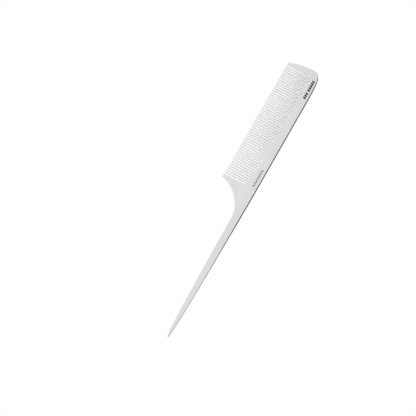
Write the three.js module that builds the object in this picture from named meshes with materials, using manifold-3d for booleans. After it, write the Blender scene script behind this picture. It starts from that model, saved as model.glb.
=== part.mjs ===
// A rat tail comb: one flat plastic moulding with fifty fine teeth and a long pointed tail.
// Millimetres. The comb lies flat: +X runs to the head end, +Y to the tooth tips, and +Z
// rises out of the printed face. While it is built, x = 0 is the middle of the first tooth
// gap and y = 0 is the spine's straight edge. The group is centred over the origin at the end.
import * as THREE from "three";
import { mergeVertices } from "three/addons/utils/BufferGeometryUtils.js";
import Module from "manifold-3d";

const wasm = await Module();
wasm.setup();

// Overall plate
const THICK = 3.2; // spine, shoulder and foot of the head end
const TIP_THICK = 1.3; // at the line of the tooth tips
const TAPER_Y = 5.75; // above this line the plate thins evenly towards the tips
const EDGE = 0.18; // chamfer along every moulded edge

// Tooth field
const TEETH = 50;
const PITCH = 1.8;
const FIELD = TEETH * PITCH; // middle of the first gap to middle of the last
const ROOT_GAP = 0.82; // width of a gap at its round bottom
const TIP_GAP = 0.9; // width of a gap between the tips
const TIP_Y = 26.45;
const TIP_ROUND = 0.35; // length of the rounding at a tooth's tip
const ROOT_Y = 6.15; // bottom of the gaps over most of the comb
const ROOT_RISE = 2.3; // how much higher the first gap ends, beside the shoulder
const RISE_GAPS = 4.2; // gaps over which that rise dies away

// End guards
const REAR_INNER = -0.5; // side of the rear guard that faces the teeth
const REAR_TOP = 26.6;
const REAR_OUTER = -3.35; // outer corner of the rear guard's tip
const HEAD_INNER = 90.45;
const HEAD_TOP = 26.3;
const HEAD_OUTER = 92.67; // outer corner of the head guard's tip
const CORNER_R = 0.45; // rounding of the guard tips

// Tail
const TAIL_X = -26; // where the shoulder ends and the tail begins
const TAIL_ROUND = 0.8; // length of the round end
const TAIL_THICK = 0.9; // at the tip
const TAIL_POWER = 2.2; // how quickly the tail thins
const TAIL_EDGES = [
  // x, spine-side edge, tooth-side edge
  [TAIL_X, 0.18, 5.69],
  [-36, 0.28, 5.64],
  [-50, 0.45, 5.62],
  [-66, 0.63, 5.54],
  [-80, 0.83, 5.38],
  [-90, 1.06, 5.2],
  [-100, 1.37, 4.9],
  [-108, 1.72, 4.6],
  [-114, 2.07, 4.36],
  [-119.7, 2.5, 3.75],
];
const TIP_ROW = 6; // the row where the slim parting tip begins
const STEPS = 4; // sections between rows

// Printed ornaments, on the face between the spine edge and the tooth roots
const INK = 0.05; // height of the print above the face
const BAR_Y = 2.7; // middle line of the bars
const BAR_HIGH = 2.1;
const BAR_WIDE = 1.2;
const BAR_PITCH = 1.8;
const BAR_LEAN = 0.6; // how far the top of a bar leads its foot
const BAR_LINK = 0.3; // width of the line that joins the bars
const WAVE_START = 0.7;
const WAVE_LENGTH = 13.6;
const WAVES = 6;
const WAVE_Y = 2.95; // middle line of the wave
const WAVE_HIGH = 0.6; // from the middle line to a crest
const WAVE_LINE = 0.42;

const plastic = new THREE.MeshStandardMaterial({
  color: 0xdedede,
  roughness: 0.38,
  metalness: 0,
});
const blackInk = new THREE.MeshStandardMaterial({
  color: 0x151515,
  roughness: 0.6,
  metalness: 0,
});
const greyInk = new THREE.MeshStandardMaterial({
  color: 0x2c2c2c,
  roughness: 0.6,
  metalness: 0,
});

const comb = new THREE.Group();
comb.name = "rat_tail_comb";

function solidOf(geometry) {
  const bare = geometry.clone();
  bare.deleteAttribute("normal");
  bare.deleteAttribute("uv");
  const merged = mergeVertices(bare, 1e-4);
  return new wasm.Manifold(
    new wasm.Mesh({
      numProp: 3,
      vertProperties: new Float32Array(merged.attributes.position.array),
      triVerts: new Uint32Array(merged.index.array),
    }),
  );
}

function addNode(name, solid, material) {
  const mesh = solid.getMesh();
  const geometry = new THREE.BufferGeometry();
  const position = new THREE.BufferAttribute(mesh.vertProperties, mesh.numProp);
  geometry.setAttribute("position", position);
  geometry.setIndex(new THREE.BufferAttribute(mesh.triVerts, 1));
  geometry.computeVertexNormals();
  const node = new THREE.Mesh(geometry, material);
  node.name = name;
  comb.add(node);
}

// A box over the given spans of x and y that runs past both faces of the plate.
function block(x0, x1, y0, y1) {
  return wasm.Manifold.cube([x1 - x0, y1 - y0, 3 * THICK]).translate([x0, y0, -THICK]);
}

// Half the width of gap i at its foot. Gap 0 is beside the rear guard, the last beside the head.
function gapHalf(i) {
  if (i === 0) return -REAR_INNER;
  if (i === TEETH) return HEAD_INNER - FIELD;
  return ROOT_GAP / 2;
}

// Height at which the round bottom of gap i meets the straight sides of its teeth.
function footY(i) {
  return ROOT_Y + ROOT_RISE * Math.exp(-i / RISE_GAPS) + gapHalf(i);
}

function gapBottom(i) {
  return arc(i * PITCH, footY(i), gapHalf(i), 0, -180, 6);
}

function arc(x, y, r, from, to, steps) {
  const a = THREE.MathUtils.degToRad(from);
  const b = THREE.MathUtils.degToRad(to);
  return new THREE.EllipseCurve(x, y, r, r, a, b, from > to).getPoints(steps);
}

// The blunt round tip of a tooth, from its head side to its tail side.
function tipArc(x, half) {
  const curve = new THREE.EllipseCurve(x, TIP_Y - TIP_ROUND, half, TIP_ROUND, 0, Math.PI);
  return curve.getPoints(6);
}

function bezier(points, steps) {
  const corners = points.map((p) => new THREE.Vector2(...p));
  return new THREE.CubicBezierCurve(...corners).getPoints(steps);
}

// The plate's outline, anticlockwise from the tail end of the spine edge. It starts a little
// beyond TAIL_X, and the plate is cut square there, so the cut face has no chamfer.
function plateOutline() {
  const halfTip = (PITCH - TIP_GAP) / 2;
  const c = CORNER_R;
  const points = [
    new THREE.Vector2(TAIL_X - 2, 0.2),
    new THREE.Vector2(TAIL_X, 0.18),
    new THREE.Vector2(-12, 0),
  ];
  points.push(...bezier([[74, 0], [93.45, 0], [94.85, 1.5], [95.35, 7.4]], 20));
  points.push(
    ...bezier([[95.35, 7.4], [95.5, 12.6], [94.4, 20.3], [HEAD_OUTER, 26.05]], 10).slice(1),
  );
  points.push(...arc(HEAD_OUTER - 0.35, HEAD_TOP - 0.35, 0.35, 30, 90, 3));
  points.push(...arc(HEAD_INNER + 0.15 + c, HEAD_TOP - c, c, 90, 180, 4));
  points.push(...gapBottom(TEETH));
  for (let i = TEETH; i > 0; i -= 1) {
    points.push(...tipArc((i - 0.5) * PITCH, halfTip));
    points.push(...gapBottom(i - 1));
  }
  points.push(...arc(REAR_INNER - 0.1 - c, REAR_TOP - c, c, 0, 90, 4));
  points.push(...arc(REAR_OUTER + c, REAR_TOP - c, c, 90, 165, 4));
  points.push(
    ...bezier([[REAR_OUTER, 26], [-5.4, 15.1], [-16.2, 5.8], [TAIL_X, 5.69]], 24),
  );
  points.push(new THREE.Vector2(TAIL_X - 2, 5.68));
  return points;
}

// The plate: extruded with chamfered edges, then thinned above TAPER_Y.
const extruded = new THREE.ExtrudeGeometry(new THREE.Shape(plateOutline()), {
  depth: THICK - 2 * EDGE,
  bevelEnabled: true,
  bevelThickness: EDGE,
  bevelSize: EDGE,
  bevelOffset: -EDGE,
  bevelSegments: 1,
  steps: 1,
}).translate(0, 0, EDGE);
const flat = solidOf(extruded).trimByPlane([1, 0, 0], TAIL_X);
const lower = flat.trimByPlane([0, -1, 0], -TAPER_Y);
const upper = flat.trimByPlane([0, 1, 0], TAPER_Y).warp((v) => {
  const share = (v[1] - TAPER_Y) / (TIP_Y - TAPER_Y);
  const thick = THICK + (TIP_THICK - THICK) * share;
  v[2] = THICK / 2 + ((v[2] - THICK / 2) * thick) / THICK;
});
const plate = lower.add(upper);

// Teeth: each is cut off square where the round bottoms of the gaps beside it end.
let spine = plate.intersect(block(0, FIELD, -5, 40));
for (let i = 1; i <= TEETH; i += 1) {
  const foot = Math.max(footY(i - 1), footY(i));
  const cell = block((i - 1) * PITCH, i * PITCH, foot, 40);
  addNode("tooth_" + String(i).padStart(2, "0"), plate.intersect(cell), plastic);
  spine = spine.subtract(cell);
}
addNode("spine", spine, plastic);

// The head end is one convex block with its guard. The shoulder's guard is cut off square.
addNode("head_end", plate.intersect(block(FIELD, 120, -5, 40)), plastic);
addNode("shoulder", plate.intersect(block(-60, 0, -5, footY(0))), plastic);
addNode("rear_guard", plate.intersect(block(-60, 0, footY(0), 40)), plastic);

// A closed skin through rings of equal count, each a list of [x, y, z] running the same way.
function loft(rings) {
  const n = rings[0].length;
  const index = [];
  for (let k = 0; k < rings.length - 1; k += 1) {
    for (let j = 0; j < n; j += 1) {
      const a = k * n + j;
      const b = k * n + ((j + 1) % n);
      index.push(a, b, a + n);
      index.push(b, b + n, a + n);
    }
  }
  const last = (rings.length - 1) * n;
  for (let j = 1; j < n - 1; j += 1) {
    index.push(0, j + 1, j);
    index.push(last, last + j, last + j + 1);
  }
  const geometry = new THREE.BufferGeometry();
  geometry.setAttribute("position", new THREE.Float32BufferAttribute(rings.flat(2), 3));
  geometry.setIndex(index);
  return geometry;
}

// One section of the tail: a chamfered rectangle, shrunk about its middle by share.
function tailRing(x, low, high, share) {
  const run = Math.max(0, (x - tailEnd) / (TAIL_X - tailEnd));
  const thick = TAIL_THICK + (THICK - TAIL_THICK) * run ** TAIL_POWER;
  const y = (low + high) / 2;
  const w = ((high - low) / 2) * share;
  const h = (thick / 2) * share;
  const c = Math.min(EDGE, 0.4 * h);
  const corners = [
    [-w + c, -h],
    [w - c, -h],
    [w, -h + c],
    [w, h - c],
    [w - c, h],
    [-w + c, h],
    [-w, h - c],
    [-w, -h + c],
  ];
  return corners.map(([dy, dz]) => [x, y + dy, THICK / 2 + dz]);
}

// Tail: the shank, then the slim parting tip with its round end.
const tailEnd = TAIL_EDGES.at(-1)[0];
const edges = new THREE.CatmullRomCurve3(TAIL_EDGES.map((row) => new THREE.Vector3(...row)));
const rings = edges
  .getPoints((TAIL_EDGES.length - 1) * STEPS)
  .map((p) => tailRing(p.x, p.y, p.z, 1))
  .reverse();
const tipRings = (TAIL_EDGES.length - 1 - TIP_ROW) * STEPS + 1;
const roundEnd = [75, 55, 30].map((degrees) => {
  const a = THREE.MathUtils.degToRad(degrees);
  const [, low, high] = TAIL_EDGES.at(-1);
  return tailRing(tailEnd - TAIL_ROUND * Math.sin(a), low, high, Math.cos(a));
});
addNode("tail_tip", solidOf(loft([...roundEnd, ...rings.slice(0, tipRings)])), plastic);
addNode("tail", solidOf(loft(rings.slice(tipRings - 1))), plastic);

// Printed ornaments: flat shapes standing on the upper face.
function inkOf(points, y) {
  const shape = new THREE.Shape(points.map(([x, y]) => new THREE.Vector2(x, y)));
  const flatInk = new THREE.ExtrudeGeometry(shape, { depth: INK, bevelEnabled: false });
  return solidOf(flatInk.translate(0, y, THICK));
}

// A row of leaning bars joined by a thin line along the middle.
function barRow(start, count) {
  const h = BAR_HIGH / 2;
  const end = start + (count - 1) * BAR_PITCH + BAR_WIDE;
  const l = BAR_LINK / 2;
  let row = inkOf([[start, -l], [end, -l], [end, l], [start, l]], BAR_Y);
  for (let i = 0; i < count; i += 1) {
    const x = start + i * BAR_PITCH;
    const a = x - BAR_LEAN / 2;
    const b = x + BAR_LEAN / 2;
    row = row.add(inkOf([[a, -h], [a + BAR_WIDE, -h], [b + BAR_WIDE, h], [b, h]], BAR_Y));
  }
  return row;
}

// A thin wavy line.
function waveLine() {
  const upper = [];
  const lowerSide = [];
  const steps = WAVES * 12;
  for (let i = 0; i <= steps; i += 1) {
    const a = (i / steps) * WAVES * 2 * Math.PI;
    const x = WAVE_START + (i / steps) * WAVE_LENGTH;
    const y = WAVE_HIGH * Math.sin(a);
    const slope = (WAVE_HIGH * Math.cos(a) * WAVES * 2 * Math.PI) / WAVE_LENGTH;
    const k = WAVE_LINE / 2 / Math.hypot(1, slope);
    upper.push([x - slope * k, y + k]);
    lowerSide.push([x + slope * k, y - k]);
  }
  return inkOf([...lowerSide, ...upper.reverse()], WAVE_Y);
}

addNode("print_wave", waveLine(), greyInk);
addNode("print_short_bars", barRow(73.7, 3), blackInk);
addNode("print_long_bars", barRow(79.85, 5), blackInk);

// Centre the comb over the origin, with its underside at z = 0.
const box = new THREE.Box3().setFromObject(comb);
const middle = box.getCenter(new THREE.Vector3());
comb.position.set(-middle.x, -middle.y, -box.min.z);
comb.updateMatrixWorld(true);

export default comb;
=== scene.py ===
import math

import bmesh
import bpy
from mathutils import Matrix, Vector


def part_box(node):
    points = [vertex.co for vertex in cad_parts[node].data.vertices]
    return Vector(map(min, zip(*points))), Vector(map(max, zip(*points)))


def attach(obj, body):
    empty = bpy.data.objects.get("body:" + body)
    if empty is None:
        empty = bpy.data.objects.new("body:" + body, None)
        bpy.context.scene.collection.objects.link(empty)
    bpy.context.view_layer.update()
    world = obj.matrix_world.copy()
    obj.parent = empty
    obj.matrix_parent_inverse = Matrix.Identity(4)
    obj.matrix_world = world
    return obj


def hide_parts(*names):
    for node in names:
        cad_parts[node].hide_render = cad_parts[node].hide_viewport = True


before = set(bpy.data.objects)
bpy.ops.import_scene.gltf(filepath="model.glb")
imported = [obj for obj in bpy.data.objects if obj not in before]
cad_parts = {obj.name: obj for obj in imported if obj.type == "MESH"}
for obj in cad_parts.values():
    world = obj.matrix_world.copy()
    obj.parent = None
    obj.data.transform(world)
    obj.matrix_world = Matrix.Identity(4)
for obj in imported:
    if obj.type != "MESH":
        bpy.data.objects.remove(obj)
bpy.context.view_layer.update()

# ---------------------------------------------------------------- dimensions
# Outlines are drawn in millimetres in the comb's own plan: x = 0 is the middle of the first tooth
# gap, y = 0 is the spine's straight edge, and z = 0 is the underside.
MM = 0.001
ORIGIN = Vector((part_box("spine")[0].x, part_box("spine")[0].y, 0.0))


def plan_box(node):
    """The lowest and highest corners of a CAD node, in the comb's own plan."""
    low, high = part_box(node)
    return (low - ORIGIN) / MM, (high - ORIGIN) / MM


TOOTH_NAMES = sorted(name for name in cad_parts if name.startswith("tooth_"))
TOOTH_BOXES = [plan_box(name) for name in TOOTH_NAMES]
TEETH = len(TOOTH_NAMES)
FIELD = plan_box("spine")[1].x
PITCH = FIELD / TEETH
THICK = plan_box("spine")[1].z
TIP_Y = TOOTH_BOXES[0][1].y
REAR_TOP = plan_box("rear_guard")[1].y
HEAD_TOP = plan_box("head_end")[1].y
TAIL_X = plan_box("tail")[1].x

# Gap i lies before tooth i + 1. Its round bottom has its centre at GAP_FOOT[i].
GAP_HALF = [TOOTH_BOXES[i][0].x - i * PITCH for i in range(TEETH)]
GAP_HALF.append(FIELD - TOOTH_BOXES[-1][1].x)
GAP_FOOT = [box[0].y for box in TOOTH_BOXES]
GAP_FOOT.append(GAP_FOOT[-1])

TIP_HALF = 0.45  # half the width of a tooth where its round tip begins
TIP_ROUND = 0.35  # length of that round tip
TAPER_Y = 5.75  # above this line the plate thins towards the tips
TIP_THICK = 1.3

# Bezier curves of the outline
HEAD_CORNER = ((74, 0), (93.45, 0), (94.85, 1.5), (95.35, 7.4))
HEAD_OUTSIDE = ((95.35, 7.4), (95.5, 12.6), (94.4, 20.3), (92.67, 26.05))
THROAT = ((-3.35, 26), (-5.4, 15.1), (-16.2, 5.8), (-26, 5.69))
SPINE_BEND = ((-26, 0.18), (-20, 0.08), (-10, 0), (0, 0))

# Guard tips. The angles, in degrees, are where a tip's rounding meets the outside of its guard.
GUARD_ROUND = 0.45
HEAD_TIP_ROUND = 0.35
HEAD_TIP_ANGLE = 25
REAR_TIP_ANGLE = 170
HEAD_LEAN = 0.15  # how far the head guard's inner side leans away from the teeth
REAR_LEAN = 0.1

# Moulded edge: a rounded arris, a slight draft, and the parting line halfway up
ARRIS = 0.2
ARRIS_STEPS = 3
DRAFT = 0.02  # how far the wall leans in between the parting line and the arris
LINE_HALF = 0.05  # half the height of the parting line
LINE_PROUD = 0.015
LINE_ANGLE = 20.0  # degrees that its two edges are shaded up and down by

GAP_STEPS = 6  # segments in half a gap's round bottom
TIP_STEPS = 12
CORNER_STEPS = 12
EDGE_STEPS = 28
STATIONS = 6  # tail sections between two rows of TAIL_EDGES

TAIL_EDGES = (
    # x, spine-side edge, tooth-side edge
    (-26, 0.18, 5.69),
    (-36, 0.28, 5.64),
    (-50, 0.45, 5.62),
    (-66, 0.63, 5.54),
    (-80, 0.83, 5.38),
    (-90, 1.06, 5.2),
    (-100, 1.37, 4.9),
    (-108, 1.72, 4.6),
    (-114, 2.07, 4.36),
    (-119.7, 2.5, 3.75),
)
TIP_ROW = 6  # the row where the parting tip begins
TAIL_ROUND = 0.8  # length of the round end
TAIL_THICK = 0.9  # thickness where the round end begins
TAIL_POWER = 2.2  # the rest of the thickness grows with the distance from there to this power
TAIL_ARRIS = 0.3  # rounding of the tail's edges at its tip
ROUND_END = (15, 30, 45, 60, 72, 82)  # degrees at which the tail's round end has a section

# Printed ornaments on the upper face. The profile of their edge is (inset, height, angle).
INK_PROFILE = ((0.0, 0.0, 0.0), (0.0, 0.02, 15.0), (0.012, 0.042, 50.0), (0.035, 0.05, 90.0))
BAR_Y = 2.7
BAR_HIGH = 2.1
BAR_WIDE = 1.2
BAR_PITCH = 1.8
BAR_LEAN = 0.6
BAR_LINK = 0.3
SHORT_BARS = 3
LONG_BARS = 5
WAVE_Y = 2.95
WAVE_HIGH = 0.6
WAVE_LINE = 0.42
WAVES = 6
WAVE_STEPS = 20  # points along one wave
WAVE_END_STEPS = 8
INK_CORNER = 0.06  # how far the ink's corners are cut back

# Heights or points closer than these count as the same
SAME_HEIGHT = 0.001
SAME_POINT = 0.01
WELD = 0.00001  # for mesh points, in the units of the mesh
HALVINGS = 40  # steps of the search in reach()

# Colours, from the darker to the lighter patches of each material
WHITE = (0.8, 0.8, 0.8), (0.84, 0.84, 0.84)
BLACK = (0.008, 0.008, 0.009), (0.016, 0.016, 0.017)
DARK_GREY = (0.012, 0.012, 0.013), (0.028, 0.028, 0.029)

# Patterns in the materials: the sizes of their patches and depths of their relief in metres, and
# the roughness of the smoother and the duller patches
PATCH_LOW = 0.3  # nearly all of a soft noise lies between this
PATCH_HIGH = 0.7  # and this
CLOUD_SIZE = 0.022
SKIN_SIZE = 0.006
SKIN_ROUGH = 0.38, 0.47
TEXTURE_SIZE = 0.00035
TEXTURE_DEPTH = 0.000006
INK_COVER_SIZE = 0.0005
INK_SKIN_SIZE = 0.0008
INK_ROUGH = 0.42, 0.6
INK_GRAIN_SIZE = 0.00012
INK_GRAIN_DEPTH = 0.000004

# The light table and its round backdrop, in metres
FLOOR_RADIUS = 2.5
COVE = 1.0  # radius of the curve between the floor and the wall
WALL = 4.0
FLOOR_Z = -0.0002
FLOOR_STEPS = 64
COVE_STEPS = 8

# The camera: its place from ORIGIN in metres, the turn whose columns are its right, its up and the
# way back from what it looks at, and its lens and film width in millimetres
CAMERA_PLACE = (-0.09342, -0.145322, 0.687694)
CAMERA_TURN = (
    (0.4967083, 0.8629676, -0.0925628),
    (-0.8524755, 0.4650599, -0.2387571),
    (-0.1629924, 0.1975001, 0.9666577),
)
FILM_WIDTH = 36.0
LENS = 86.538461538

# The lamps, all aimed at the comb: place and side in metres, power in watts, and whether the
# lamp shows in reflections. WORLD_LIGHT comes evenly from all round.
LAMPS = (
    ("key", (-0.68, 0.68, 1.15), 0.8, 17.3, True),
    ("fill", (0.68, 0.68, 1.15), 0.8, 8.8, True),
    ("under", (-0.45, 0.45, -1.36), 1.2, 31, False),
)
WORLD_LIGHT = 0.03


# ---------------------------------------------------------------- curves
# A curve is a list of (point, unit tangent) pairs, drawn with the plastic on its left.
def line(a, b):
    a, b = Vector(a), Vector(b)
    tangent = (b - a).normalized()
    return [(a, tangent), (b, tangent)]


def arc(x, y, half_x, half_y, start, end, steps):
    """Part of an ellipse between two angles in degrees, clockwise where end is below start."""
    turn = 1 if end > start else -1
    curve = []
    for k in range(steps + 1):
        a = math.radians(start + (end - start) * k / steps)
        point = Vector((x + half_x * math.cos(a), y + half_y * math.sin(a)))
        tangent = Vector((-half_x * math.sin(a), half_y * math.cos(a))) * turn
        curve.append((point, tangent.normalized()))
    return curve


def bezier_point(corners, t):
    p0, p1, p2, p3 = (Vector(c) for c in corners)
    s = 1 - t
    point = p0 * s**3 + p1 * (3 * s * s * t) + p2 * (3 * s * t * t) + p3 * t**3
    slope = (p1 - p0) * (s * s) + (p2 - p1) * (2 * s * t) + (p3 - p2) * (t * t)
    return point, slope.normalized()


def bezier(corners, steps, start=0.0, end=1.0):
    return [bezier_point(corners, start + (end - start) * k / steps) for k in range(steps + 1)]


def reach(corners, axis, value):
    """How far along a Bezier curve, from 0 to 1, its x (axis 0) or y (axis 1) has that value."""
    low, high = 0.0, 1.0
    rising = corners[3][axis] > corners[0][axis]
    for _ in range(HALVINGS):
        t = (low + high) / 2
        if (bezier_point(corners, t)[0][axis] < value) == rising:
            low = t
        else:
            high = t
    return low


def joined(*curves):
    """Curves end to end. Where two meet, the point is kept once, with the mean tangent."""
    whole = list(curves[0])
    for curve in curves[1:]:
        point, tangent = curve[0]
        if (whole[-1][0] - point).length < SAME_POINT:
            whole[-1] = (point, (whole[-1][1] + tangent).normalized())
            curve = curve[1:]
        whole += curve
    return whole


# ---------------------------------------------------------------- solids
def edge_profile(thick, arris):
    """The moulded edge in section, from the underside up: (inset, height, angle) of each point,
    where the angle is the surface normal's, above the horizontal."""
    half = thick / 2
    upper = [
        (0.0, LINE_HALF, LINE_ANGLE),
        (LINE_PROUD, LINE_HALF + LINE_PROUD, LINE_ANGLE),
        (LINE_PROUD, LINE_HALF + 2 * LINE_PROUD, 0.0),
    ]
    for k in range(ARRIS_STEPS + 1):
        angle = 90 * k / ARRIS_STEPS
        a = math.radians(angle)
        inset = LINE_PROUD + DRAFT + arris * (1 - math.cos(a))
        upper.append((inset, half - arris * (1 - math.sin(a)), angle))
    lower = [(inset, half - rise, -angle) for inset, rise, angle in reversed(upper)]
    return lower + [(inset, half + rise, angle) for inset, rise, angle in upper]


def plate_share(y):
    """The plate's thickness at y as a share of THICK, and how fast that share falls there. Where
    the thinning begins, the rate is the mean of the two sides, so that the crease looks soft."""
    fall = (1 - TIP_THICK / THICK) / (TIP_Y - TAPER_Y)
    if y < TAPER_Y - SAME_HEIGHT:
        return 1.0, 0.0
    crease = 0.5 if y < TAPER_Y + SAME_HEIGHT else 1.0
    return 1 - fall * (y - TAPER_Y), fall * crease


def thin(bm, normal):
    """Thins the plate about its middle towards the tooth tips, and turns the normals with it."""
    middle = THICK / 2
    for v in bm.verts:
        share, fall = plate_share(v.co.y)
        rise = v.co.z - middle
        n = Vector(v[normal])
        n.y += n.z * rise * fall / share
        n.z /= share
        v[normal] = n.normalized()
        v.co.z = middle + rise * share


def finished(bm, normal, name):
    """The piece as an object in the row frame, shaded by its own normals. The flat cut faces
    inside the moulding keep theirs."""
    bm.normal_update()
    corner_normals = []
    for face in bm.faces:
        for loop in face.loops:
            own = Vector(loop.vert[normal]) if face.smooth else face.normal.copy()
            corner_normals.append(own)
    for v in bm.verts:
        v.co = ORIGIN + v.co * MM
    bm.verts.layers.float_vector.remove(normal)
    mesh = bpy.data.meshes.new(name)
    bm.to_mesh(mesh)
    bm.free()
    mesh.normals_split_custom_set(corner_normals)
    piece = bpy.data.objects.new(name, mesh)
    bpy.context.scene.collection.objects.link(piece)
    return piece


def slab(name, runs, profile, base=0.0, closed=False, columns=(), tapered=True):
    """A flat piece with a moulded edge. Each run is a stretch of outline that shows, and they go
    round anticlockwise. The cuts between runs are inside the moulding, where the next piece
    carries on. A closed piece is one run with no cut. The underside is at the height of base,
    the flat faces are divided at each x in columns, and a tapered piece thins towards the tooth
    tips."""
    bm = bmesh.new()
    normal = bm.verts.layers.float_vector.new("normal")
    outline = []
    for i, run in enumerate(runs):
        neighbours = {0: runs[i - 1][-1][0], len(run) - 1: runs[(i + 1) % len(runs)][0][0]}
        rings = []
        for k, (point, tangent) in enumerate(run):
            out = Vector((tangent.y, -tangent.x))
            slide = out
            if k in neighbours and not closed:
                cut = (point - neighbours[k]).normalized()
                slide = cut / cut.dot(out)
            ring = []
            for inset, height, angle in profile:
                flat = point - slide * inset
                a = math.radians(angle)
                v = bm.verts.new((flat.x, flat.y, base + height))
                v[normal] = (out.x * math.cos(a), out.y * math.cos(a), math.sin(a))
                ring.append(v)
            rings.append(ring)
        outline.append(rings)
    for i, rings in enumerate(outline):
        following = outline[(i + 1) % len(outline)][0]
        pairs = list(zip(rings, rings[1:]))
        if closed:
            pairs.append((rings[-1], following))
        else:
            bm.faces.new(rings[-1][::-1] + following).smooth = False
        for a, b in pairs:
            for k in range(len(profile) - 1):
                bm.faces.new((a[k], b[k], b[k + 1], a[k + 1])).smooth = True
    around = [ring for rings in outline for ring in rings]
    bm.faces.new([ring[-1] for ring in around]).smooth = True
    bm.faces.new([ring[0] for ring in reversed(around)]).smooth = True
    cuts = [((x, 0, 0), (1, 0, 0)) for x in columns]
    if tapered:
        cuts.append(((0, TAPER_Y, 0), (0, 1, 0)))
    for place, across in cuts:
        geometry = bm.verts[:] + bm.edges[:] + bm.faces[:]
        bmesh.ops.bisect_plane(bm, geom=geometry, dist=WELD, plane_co=place, plane_no=across)
    if tapered:
        thin(bm, normal)
    return finished(bm, normal, name)


# ---------------------------------------------------------------- the toothed plate
PLATE_PROFILE = edge_profile(THICK, ARRIS)


def gap_arc(i, start, end):
    """Part of the round bottom of gap i: 0 is its head side and -90 its lowest point."""
    steps = round(GAP_STEPS * abs(end - start) / 90)
    return arc(i * PITCH, GAP_FOOT[i], GAP_HALF[i], GAP_HALF[i], start, end, steps)


def gap_side(i, side, y):
    """x of the head side (+1) or tail side (-1) of gap i at height y."""
    tip = PITCH / 2 - TIP_HALF
    share = (y - GAP_FOOT[i]) / (TIP_Y - TIP_ROUND - GAP_FOOT[i])
    return i * PITCH + side * (GAP_HALF[i] + (tip - GAP_HALF[i]) * share)


def tooth(i):
    """Tooth i + 1, between gaps i and i + 1, from its foot to its round tip."""
    foot = TOOTH_BOXES[i][0].y
    tip = TIP_Y - TIP_ROUND
    middle = (i + 0.5) * PITCH
    head_side = (gap_side(i + 1, -1, foot), foot), (middle + TIP_HALF, tip)
    tail_side = (middle - TIP_HALF, tip), (gap_side(i, 1, foot), foot)
    round_tip = arc(middle, tip, TIP_HALF, TIP_ROUND, 0, 180, TIP_STEPS)
    run = line(*head_side)[:1] + round_tip + line(*tail_side)[1:]
    return slab(f"{TOOTH_NAMES[i]}_moulded", [run], PLATE_PROFILE)


def spine():
    corner = bezier(HEAD_CORNER, CORNER_STEPS, 0, reach(HEAD_CORNER, 0, FIELD))
    columns = [k * PITCH for k in range(TEETH)]
    edge = [(Vector((x, 0)), Vector((1, 0))) for x in columns if x < HEAD_CORNER[0][0]]
    runs = [edge + corner, gap_arc(TEETH, -90, -180)]
    for i in range(TEETH - 1, 0, -1):
        run = gap_arc(i, 0, -180)
        foot = TOOTH_BOXES[i - 1][0].y
        if foot > GAP_FOOT[i] + SAME_HEIGHT:
            run += line(run[-1][0], (gap_side(i, -1, foot), foot))[1:]
        runs.append(run)
    runs.append(gap_arc(0, 0, -90))
    return slab("spine_moulded", runs, PLATE_PROFILE, columns=columns[1:])


def head_end():
    inner = FIELD + GAP_HALF[-1]
    r = GUARD_ROUND
    run = joined(
        bezier(HEAD_CORNER, EDGE_STEPS, reach(HEAD_CORNER, 0, FIELD), 1),
        bezier(HEAD_OUTSIDE, EDGE_STEPS),
        arc(HEAD_OUTSIDE[3][0] - HEAD_TIP_ROUND, HEAD_TOP - HEAD_TIP_ROUND,
            HEAD_TIP_ROUND, HEAD_TIP_ROUND, HEAD_TIP_ANGLE, 90, GAP_STEPS),
        arc(inner + HEAD_LEAN + r, HEAD_TOP - r, r, r, 90, 180, GAP_STEPS),
        gap_arc(TEETH, 0, -90),
    )
    return slab("head_end_moulded", [run], PLATE_PROFILE)


def shoulder():
    foot = GAP_FOOT[0]
    edge = bezier(SPINE_BEND, CORNER_STEPS)
    throat = bezier(THROAT, EDGE_STEPS, reach(THROAT, 1, foot), 1)
    return slab("shoulder_moulded", [edge, gap_arc(0, -90, -180), throat], PLATE_PROFILE)


def rear_guard():
    inner = -GAP_HALF[0]
    foot = GAP_FOOT[0]
    r = GUARD_ROUND
    run = joined(
        line((inner, foot), (inner - REAR_LEAN, REAR_TOP - r))[:1],
        arc(inner - REAR_LEAN - r, REAR_TOP - r, r, r, 0, 90, GAP_STEPS),
        arc(THROAT[0][0] + r, REAR_TOP - r, r, r, 90, REAR_TIP_ANGLE, GAP_STEPS),
        bezier(THROAT, EDGE_STEPS, 0, reach(THROAT, 1, foot)),
    )
    return slab("rear_guard_moulded", [run], PLATE_PROFILE)


# ---------------------------------------------------------------- the tail
def tail_edge(x, column):
    """y of the tail's spine side (column 1) or tooth side (column 2) at x, on a smooth curve
    through the rows."""
    rows = TAIL_EDGES
    k = max(j for j in range(len(rows) - 1) if x <= rows[j][0] + WELD)

    def slope(j):
        a, b = rows[max(j - 1, 0)], rows[min(j + 1, len(rows) - 1)]
        return (b[column] - a[column]) / (b[0] - a[0])

    step = rows[k + 1][0] - rows[k][0]
    t = (x - rows[k][0]) / step
    return (
        rows[k][column] * (2 * t**3 - 3 * t**2 + 1)
        + rows[k + 1][column] * (3 * t**2 - 2 * t**3)
        + slope(k) * step * (t**3 - 2 * t**2 + t)
        + slope(k + 1) * step * (t**3 - t**2)
    )


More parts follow.
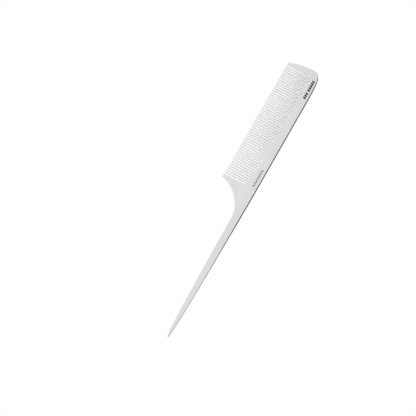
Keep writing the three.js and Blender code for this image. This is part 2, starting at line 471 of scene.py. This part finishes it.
def tail_ring(x, share=1.0):
    """One section of the tail, shrunk about its middle: (y, z, normal) of each point, up the
    spine side and down the tooth side."""
    end = TAIL_EDGES[-1][0]
    at = max(x, end)
    run = (at - end) / (TAIL_X - end)
    thick = TAIL_THICK + (THICK - TAIL_THICK) * run**TAIL_POWER
    arris = ARRIS + (TAIL_ARRIS - ARRIS) * (1 - run)
    low, high = tail_edge(at, 1), tail_edge(at, 2)
    middle = Vector(((low + high) / 2, THICK / 2))
    profile = edge_profile(thick, arris)
    drop = (THICK - thick) / 2
    ring = []
    for side, y, points in ((-1, low, profile), (1, high, profile[::-1])):
        for inset, height, angle in points:
            a = math.radians(angle)
            place = middle + (Vector((y - side * inset, height + drop)) - middle) * share
            ring.append((place, Vector((0, side * math.cos(a), math.sin(a)))))
    return ring


def tail_piece(name, stations, round_end):
    """A length of the tail through its stations, from the shoulder's side to the tip."""
    rings = [(x, tail_ring(x)) for x in stations]
    if round_end:
        for degrees in ROUND_END:
            a = math.radians(degrees)
            x = stations[-1] - TAIL_ROUND * math.sin(a)
            rings.append((x, tail_ring(x, math.cos(a))))
    bm = bmesh.new()
    normal = bm.verts.layers.float_vector.new("normal")
    made = [[bm.verts.new((x, *place)) for place, _ in ring] for x, ring in rings]
    for i, (_, ring) in enumerate(rings):
        for k, (_, out) in enumerate(ring):
            along = made[max(i - 1, 0)][k].co - made[min(i + 1, len(made) - 1)][k].co
            along.normalize()
            made[i][k][normal] = (out - along * out.dot(along)).normalized()
    count = len(made[0])
    for a, b in zip(made, made[1:]):
        for k in range(count):
            j = (k + 1) % count
            bm.faces.new((a[k], a[j], b[j], b[k])).smooth = True
    bm.faces.new(made[0][::-1]).smooth = False
    bm.faces.new(made[-1]).smooth = round_end
    bmesh.ops.recalc_face_normals(bm, faces=bm.faces[:])
    return finished(bm, normal, name)


def tail_stations(first, last):
    """x of each section of the tail from one row of TAIL_EDGES to another."""
    rows = [row[0] for row in TAIL_EDGES[first : last + 1]]
    stations = rows[:1]
    for a, b in zip(rows, rows[1:]):
        stations += [a + (b - a) * k / STATIONS for k in range(1, STATIONS + 1)]
    return stations


# ---------------------------------------------------------------- printed ornaments
def straight_outline(points):
    """A closed outline of straight sides. Its corners are cut back a little and shade as round."""
    curve = []
    for k, point in enumerate(points):
        here, before = Vector(point), Vector(points[k - 1])
        after = Vector(points[(k + 1) % len(points)])
        arriving, leaving = (here - before).normalized(), (after - here).normalized()
        curve.append((here - arriving * INK_CORNER, arriving))
        curve.append((here + leaving * INK_CORNER, leaving))
    return curve


def bar_row(name, count):
    """Leaning bars joined by a thin line along their middle."""
    start = plan_box(name)[0].x + BAR_LEAN / 2
    half = BAR_HIGH / 2
    link = BAR_LINK / 2

    def side(i, right, y):
        """A point y above bar i's middle, on its tail side (right 0) or head side (right 1)."""
        return (start + i * BAR_PITCH + right * BAR_WIDE + BAR_LEAN * y / BAR_HIGH, BAR_Y + y)

    def bar_edge(i, right, y):
        """Where one bar's side meets the link at y, unless no bar lies beyond that side."""
        return [side(i, right, y)] if 0 < i + right < count else []

    points = []
    for i in range(count):
        points += bar_edge(i, 0, -link)
        points += [side(i, 0, -half), side(i, 1, -half)]
        points += bar_edge(i, 1, -link)
    for i in reversed(range(count)):
        points += bar_edge(i, 1, link)
        points += [side(i, 1, half), side(i, 0, half)]
        points += bar_edge(i, 0, link)
    outline = straight_outline(points)
    return slab(f"{name}_ink", [outline], INK_PROFILE, base=THICK, closed=True, tapered=False)


def wave_line(name):
    """A thin wavy line with round ends."""
    start = plan_box(name)[0].x + WAVE_LINE / 2
    length = plan_box(name)[1].x - WAVE_LINE / 2 - start
    count = WAVES * WAVE_STEPS
    middle = []
    for k in range(count + 1):
        turn = 2 * math.pi * WAVES * k / count
        point = Vector((start + length * k / count, WAVE_Y + WAVE_HIGH * math.sin(turn)))
        slope = WAVE_HIGH * math.cos(turn) * 2 * math.pi * WAVES / length
        middle.append((point, Vector((1, slope)).normalized()))
    half = WAVE_LINE / 2
    lower = [(p + Vector((t.y, -t.x)) * half, t) for p, t in middle]
    upper = [(p - Vector((t.y, -t.x)) * half, -t) for p, t in reversed(middle)]
    ends = []
    for (p, t), way in ((middle[-1], 0), (middle[0], 180)):
        lean = math.degrees(math.atan2(t.y, t.x)) + way
        round_end = arc(p.x, p.y, half, half, lean - 90, lean + 90, WAVE_END_STEPS)
        ends.append(round_end[1:-1])
    outline = lower + ends[0] + upper + ends[1]
    return slab(f"{name}_ink", [outline], INK_PROFILE, base=THICK, closed=True, tapered=False)


# ---------------------------------------------------------------- materials
def shader(name):
    """A new material, its node tree and its surface shader."""
    made = bpy.data.materials.new(name)
    made.use_nodes = True
    tree = made.node_tree
    return made, tree, tree.nodes["Principled BSDF"]


def noise(tree, size, detail):
    """Soft noise whose patches are about size metres across, fixed to the comb."""
    place = tree.nodes.new("ShaderNodeTexCoord")
    pattern = tree.nodes.new("ShaderNodeTexNoise")
    pattern.inputs["Scale"].default_value = 1 / size
    pattern.inputs["Detail"].default_value = detail
    tree.links.new(place.outputs["Object"], pattern.inputs["Vector"])
    return pattern.outputs["Fac"]


def spread(tree, source, low, high):
    """A noise turned into a number from low to high."""
    node = tree.nodes.new("ShaderNodeMapRange")
    node.inputs["From Min"].default_value = PATCH_LOW
    node.inputs["From Max"].default_value = PATCH_HIGH
    node.inputs["To Min"].default_value = low
    node.inputs["To Max"].default_value = high
    tree.links.new(source, node.inputs["Value"])
    return node.outputs["Result"]


def shade(tree, source, low, high):
    """A noise turned into a colour from low to high."""
    ramp = tree.nodes.new("ShaderNodeValToRGB")
    stops = (PATCH_LOW, low), (PATCH_HIGH, high)
    for element, (place, level) in zip(ramp.color_ramp.elements, stops):
        element.position = place
        element.color = (*level, 1)
    tree.links.new(source, ramp.inputs["Fac"])
    return ramp.outputs["Color"]


def bump(tree, surface, source, depth):
    """A relief of that depth in metres, shaped by a noise."""
    node = tree.nodes.new("ShaderNodeBump")
    node.inputs["Distance"].default_value = depth
    tree.links.new(source, node.inputs["Height"])
    tree.links.new(node.outputs["Normal"], surface.inputs["Normal"])


def moulded_plastic():
    """Satin white plastic: a faint cloudiness from the melt, patches of slightly duller skin,
    and the fine texture of the polished mould."""
    made, tree, surface = shader("moulded_plastic")
    colour = shade(tree, noise(tree, CLOUD_SIZE, detail=3), *WHITE)
    tree.links.new(colour, surface.inputs["Base Color"])
    rough = spread(tree, noise(tree, SKIN_SIZE, detail=4), *SKIN_ROUGH)
    tree.links.new(rough, surface.inputs["Roughness"])
    bump(tree, surface, noise(tree, TEXTURE_SIZE, detail=2), TEXTURE_DEPTH)
    return made


def printed_ink(name, low, high):
    """Pad-printed ink: slightly uneven cover, and a duller, grainy surface."""
    made, tree, surface = shader(name)
    colour = shade(tree, noise(tree, INK_COVER_SIZE, detail=3), low, high)
    tree.links.new(colour, surface.inputs["Base Color"])
    rough = spread(tree, noise(tree, INK_SKIN_SIZE, detail=3), *INK_ROUGH)
    tree.links.new(rough, surface.inputs["Roughness"])
    bump(tree, surface, noise(tree, INK_GRAIN_SIZE, detail=2), INK_GRAIN_DEPTH)
    return made


def white_glow():
    """The light table's own even white. It reflects nothing and lights nothing else."""
    made, _, surface = shader("table_glow")
    surface.inputs["Base Color"].default_value = (0, 0, 0, 1)
    surface.inputs["Roughness"].default_value = 1.0
    surface.inputs["Specular IOR Level"].default_value = 0.0
    surface.inputs["Emission Color"].default_value = (1, 1, 1, 1)
    surface.inputs["Emission Strength"].default_value = 1.0
    made.cycles.emission_sampling = "NONE"
    return made


plastic = moulded_plastic()
black_ink = printed_ink("black_ink", *BLACK)
grey_ink = printed_ink("grey_ink", *DARK_GREY)


# ---------------------------------------------------------------- assembly
def stand_for(piece, node, finish):
    """Gives a piece its finish and puts it in its CAD node's place."""
    piece.data.materials.append(finish)
    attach(piece, "root")
    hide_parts(node)


for i, node in enumerate(TOOTH_NAMES):
    stand_for(tooth(i), node, plastic)
for make in (spine, head_end, shoulder, rear_guard):
    stand_for(make(), make.__name__, plastic)
shank = tail_piece("tail_moulded", tail_stations(0, TIP_ROW), False)
stand_for(shank, "tail", plastic)
tip = tail_piece("tail_tip_moulded", tail_stations(TIP_ROW, len(TAIL_EDGES) - 1), True)
stand_for(tip, "tail_tip", plastic)
stand_for(bar_row("print_short_bars", SHORT_BARS), "print_short_bars", black_ink)
stand_for(bar_row("print_long_bars", LONG_BARS), "print_long_bars", black_ink)
stand_for(wave_line("print_wave"), "print_wave", grey_ink)


# ---------------------------------------------------------------- floor and backdrop
def light_table():
    """A glowing white table that curves up into a round backdrop, so that no view has an edge."""
    profile = [(0.0, 0.0), (FLOOR_RADIUS, 0.0)]
    for k in range(1, COVE_STEPS + 1):
        a = math.radians(90 * k / COVE_STEPS)
        profile.append((FLOOR_RADIUS + COVE * math.sin(a), COVE * (1 - math.cos(a))))
    profile.append((FLOOR_RADIUS + COVE, WALL))
    bm = bmesh.new()
    points = [bm.verts.new((r, 0, FLOOR_Z + z)) for r, z in profile]
    edges = [bm.edges.new(pair) for pair in zip(points, points[1:])]
    bmesh.ops.spin(bm, geom=points + edges, axis=(0, 0, 1), cent=(0, 0, 0),
                   angle=2 * math.pi, steps=FLOOR_STEPS, use_merge=True)
    bmesh.ops.remove_doubles(bm, verts=bm.verts[:], dist=WELD)
    bmesh.ops.recalc_face_normals(bm, faces=bm.faces[:])
    mesh = bpy.data.meshes.new("light_table")
    bm.to_mesh(mesh)
    bm.free()
    table = bpy.data.objects.new("light_table", mesh)
    bpy.context.scene.collection.objects.link(table)
    mesh.materials.append(white_glow())
    table.visible_diffuse = False
    table.visible_glossy = False
    table.visible_transmission = False
    table.visible_shadow = False


light_table()

# ---------------------------------------------------------------- camera and light
scene = bpy.context.scene
cam_data = bpy.data.cameras.new("camera")
cam = bpy.data.objects.new("camera", cam_data)
scene.collection.objects.link(cam)
cam_data.sensor_width = FILM_WIDTH
cam_data.lens = LENS
cam_data.clip_start = 0.01
cam_data.clip_end = 20.0
place = Matrix.Translation(ORIGIN + Vector(CAMERA_PLACE))
cam.matrix_world = place @ Matrix(CAMERA_TURN).to_4x4()
scene.camera = cam

scene.view_settings.view_transform = "Standard"
scene.view_settings.look = "None"


def soft_lamp(name, location, side, power, reflected):
    """A square lamp aimed at the middle of the comb."""
    data = bpy.data.lights.new(name, "AREA")
    data.shape = "RECTANGLE"
    data.size = side
    data.size_y = side
    data.energy = power
    lamp = bpy.data.objects.new(name, data)
    scene.collection.objects.link(lamp)
    lamp.location = location
    lamp.rotation_euler = (-Vector(location)).to_track_quat("-Z", "Y").to_euler()
    lamp.visible_glossy = reflected


for lamp in LAMPS:
    soft_lamp(*lamp)

world = bpy.data.worlds.new("world")
scene.world = world
world.use_nodes = True
background = world.node_tree.nodes["Background"]
background.inputs["Color"].default_value = (1, 1, 1, 1)
background.inputs["Strength"].default_value = WORLD_LIGHT
